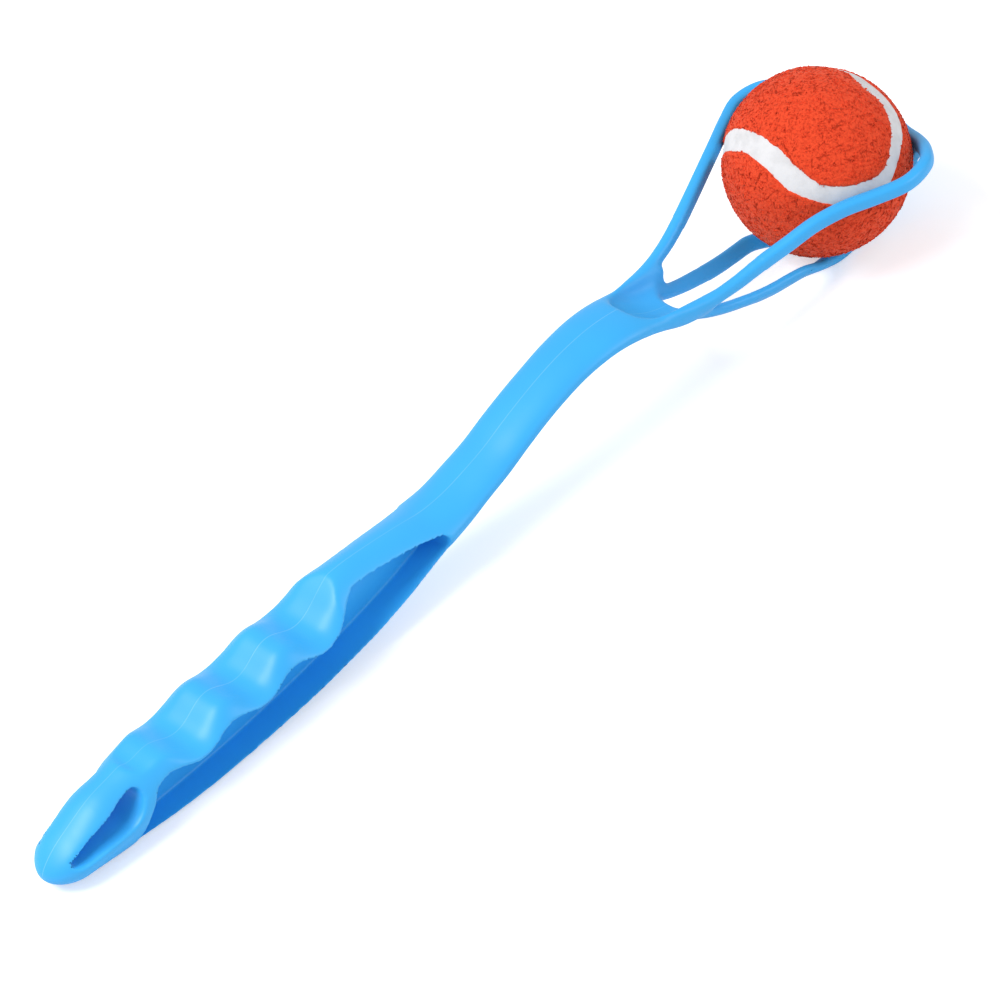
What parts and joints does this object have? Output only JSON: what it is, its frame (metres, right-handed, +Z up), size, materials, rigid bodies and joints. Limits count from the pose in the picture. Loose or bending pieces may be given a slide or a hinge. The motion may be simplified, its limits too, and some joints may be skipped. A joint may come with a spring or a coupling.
{
  "type": "dog ball thrower",
  "caption": "Hand-held one-piece plastic ball thrower with finger grooves, hang hole and a four-rib cage that holds a removable felt-covered rubber ball.",
  "frame": {"origin": "on the floor that the part lies on, under the middle of its box", "axes": "+X along the handle towards the cage, +Y across, +Z up out of the cage's mouth"},
  "size_m": [0.4044, 0.0824, 0.067],
  "materials": {
    "blue_plastic": "satin moulded plastic, sky blue",
    "core_rubber": "matt moulded rubber",
    "orange_felt": "short red-orange felt",
    "seam_rubber": "matt white cured rubber"
  },
  "bodies": {
    "thrower": {"thrower_moulding": "blue_plastic"},
    "ball": {"ball_core_half_a": "core_rubber", "ball_core_half_b": "core_rubber", "ball_felt_panel_a": "orange_felt", "ball_felt_panel_b": "orange_felt", "ball_seam": "seam_rubber"}
  },
  "joints": [
    {"name": "ball_release", "type": "slide", "parent": "thrower", "child": "ball", "axis": [0, 0, 1], "range_m": [0, 0.08]}
  ]
}
